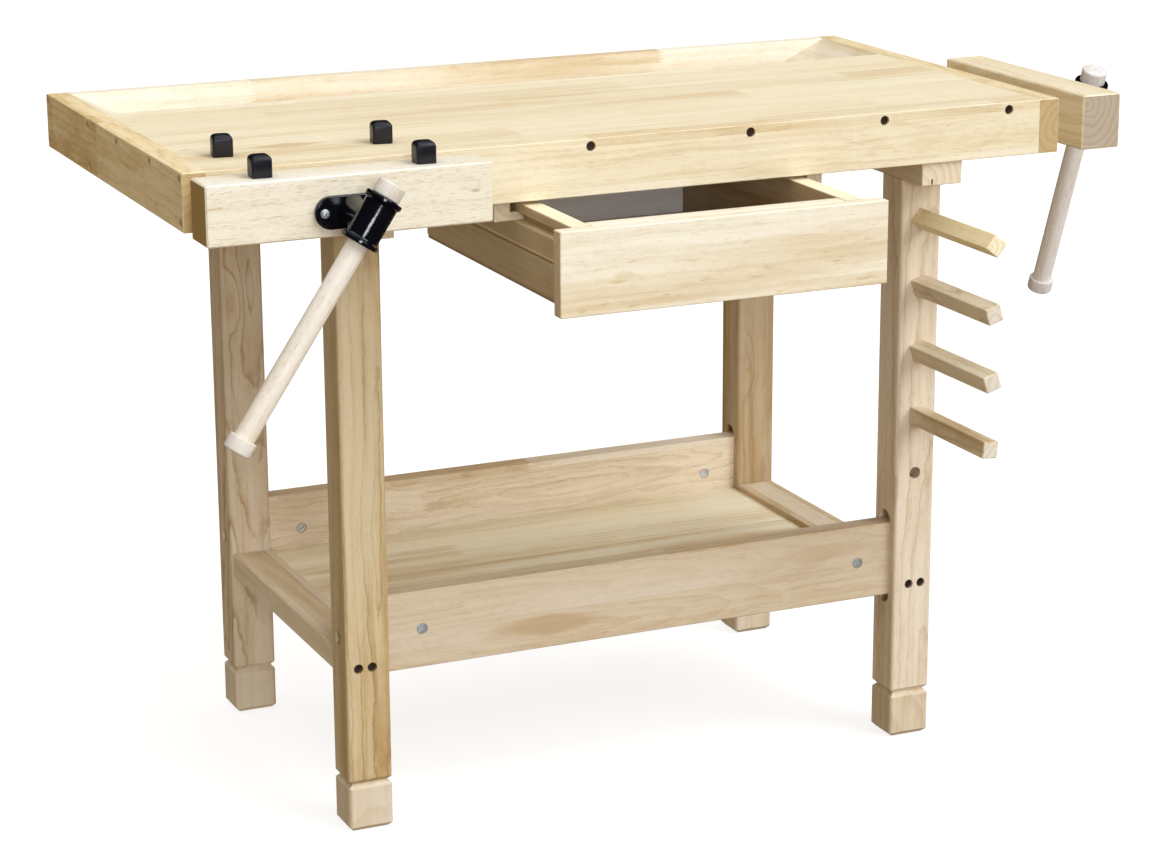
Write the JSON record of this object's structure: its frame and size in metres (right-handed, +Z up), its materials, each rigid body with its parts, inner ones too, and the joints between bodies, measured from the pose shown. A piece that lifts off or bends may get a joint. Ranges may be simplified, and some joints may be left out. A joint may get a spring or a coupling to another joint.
{
  "type": "children's workbench",
  "caption": "Children's wooden workbench with a drawer, front and tail vises on screws and guide rods, bench dogs, a tool tray, a low shelf and square tool pegs.",
  "frame": {"origin": "middle of the whole bench's footprint box, on the floor", "axes": "+X to the right along the bench, +Y to the back, +Z up"},
  "size_m": [1.1242, 0.641, 0.74],
  "materials": {
    "top_wood": "satin lacquer over stave-glued hardwood",
    "end_wood": "satin lacquer",
    "tray_wood": "satin lacquer",
    "leg_wood": "matt",
    "foot_wood": "matt",
    "bearer_wood": "matt",
    "stretcher_wood": "satin, with finger joints",
    "shelf_wood": "matt",
    "peg_wood": "matt",
    "drawer_wood": "matt",
    "handle_wood": "smooth turned beech",
    "black_paint": "gloss black",
    "black_plastic": "matt black",
    "bright_steel": "bright drawn steel",
    "zinc": "zinc plated",
    "dark_steel": "browned"
  },
  "bodies": {
    "bench": {"left_end_cap": "end_wood", "right_end_cap": "end_wood", "front_apron": "top_wood", "worktop_panel": "top_wood", "tray_wall": "top_wood", "back_board": "top_wood", "tray_floor": "tray_wood", "tray_ramp_right": "tray_wood", "tray_ramp_left": "tray_wood", "drawer_runner_left": "drawer_wood", "drawer_runner_right": "drawer_wood", "wood_screws": "dark_steel", "front_left_leg": "leg_wood", "back_left_leg": "leg_wood", "bearer_left": "bearer_wood", "side_rail_left": "bearer_wood", "front_right_leg": "leg_wood", "back_right_leg": "leg_wood", "bearer_right": "bearer_wood", "side_rail_right": "bearer_wood", "foot_blocks": "foot_wood", "stretcher_bolts": "zinc", "barrel_nuts": "zinc", "front_stretcher": "stretcher_wood", "back_stretcher": "stretcher_wood", "shelf": "shelf_wood", "rail_screws": "dark_steel", "tool_peg_1": "peg_wood", "tool_peg_2": "peg_wood", "tool_peg_3": "peg_wood", "tool_peg_4": "peg_wood", "front_nut_plate": "black_paint", "tail_nut_plate": "black_paint"},
    "drawer": {"drawer_front": "top_wood", "drawer_box_front": "drawer_wood", "drawer_side_left": "drawer_wood", "drawer_side_right": "drawer_wood", "drawer_back": "drawer_wood", "drawer_bottom": "drawer_wood"},
    "front_jaw": {"front_jaw": "top_wood", "front_collar": "black_paint", "front_collar_screws": "zinc", "front_guide_rods": "bright_steel"},
    "front_screw": {"front_screw": "bright_steel", "front_hub": "black_paint"},
    "front_handle": {"front_handle": "handle_wood", "front_handle_caps": "handle_wood"},
    "tail_jaw": {"tail_jaw": "top_wood", "tail_collar": "black_paint", "tail_collar_screws": "zinc", "tail_guide_rods": "bright_steel"},
    "tail_screw": {"tail_screw": "bright_steel", "tail_hub": "black_paint"},
    "tail_handle": {"tail_handle": "handle_wood", "tail_handle_caps": "handle_wood"},
    "bench_dog_1": {"bench_dog_1": "black_plastic"},
    "bench_dog_2": {"bench_dog_2": "black_plastic"},
    "bench_dog_3": {"bench_dog_3": "black_plastic"},
    "bench_dog_4": {"bench_dog_4": "black_plastic"}
  },
  "joints": [
    {"name": "drawer_slide", "type": "slide", "parent": "bench", "child": "drawer", "axis": [0, -1, 0], "range_m": [-0.131, 0.1]},
    {"name": "front_jaw_slide", "type": "slide", "parent": "bench", "child": "front_jaw", "axis": [0, -1, 0], "range_m": [-0.023, 0.081]},
    {"name": "front_screw_turn", "type": "hinge", "parent": "front_jaw", "child": "front_screw", "pos_m": [-0.4117, -0.30178, 0.683], "axis": [0, -1, 0], "range_deg": [-235, 75]},
    {"name": "front_handle_slide", "type": "slide", "parent": "front_screw", "child": "front_handle", "axis": [0.5592, 0, 0.829], "range_m": [0, 0.2094]},
    {"name": "tail_jaw_slide", "type": "slide", "parent": "bench", "child": "tail_jaw", "axis": [1, 0, 0], "range_m": [-0.0302, 0.077]},
    {"name": "tail_screw_turn", "type": "hinge", "parent": "tail_jaw", "child": "tail_screw", "pos_m": [0.5433, -0.03598, 0.683], "axis": [1, 0, 0], "range_deg": [-2176, 5546]},
    {"name": "tail_handle_slide", "type": "slide", "parent": "tail_screw", "child": "tail_handle", "axis": [0, -0.342, 0.9397], "range_m": [0, 0.2094]},
    {"name": "dog_lift_1", "type": "slide", "parent": "front_jaw", "child": "bench_dog_1", "axis": [0, 0, 1], "range_m": [0, 0.06]},
    {"name": "dog_lift_2", "type": "slide", "parent": "front_jaw", "child": "bench_dog_2", "axis": [0, 0, 1], "range_m": [0, 0.06]},
    {"name": "dog_lift_3", "type": "slide", "parent": "bench", "child": "bench_dog_3", "axis": [0, 0, 1], "range_m": [0, 0.06]},
    {"name": "dog_lift_4", "type": "slide", "parent": "bench", "child": "bench_dog_4", "axis": [0, 0, 1], "range_m": [0, 0.06]}
  ],
  "couplings": [
    {"joint": "tail_screw_turn", "follows": "tail_jaw_slide", "rad_per_m": 1256.6}
  ]
}
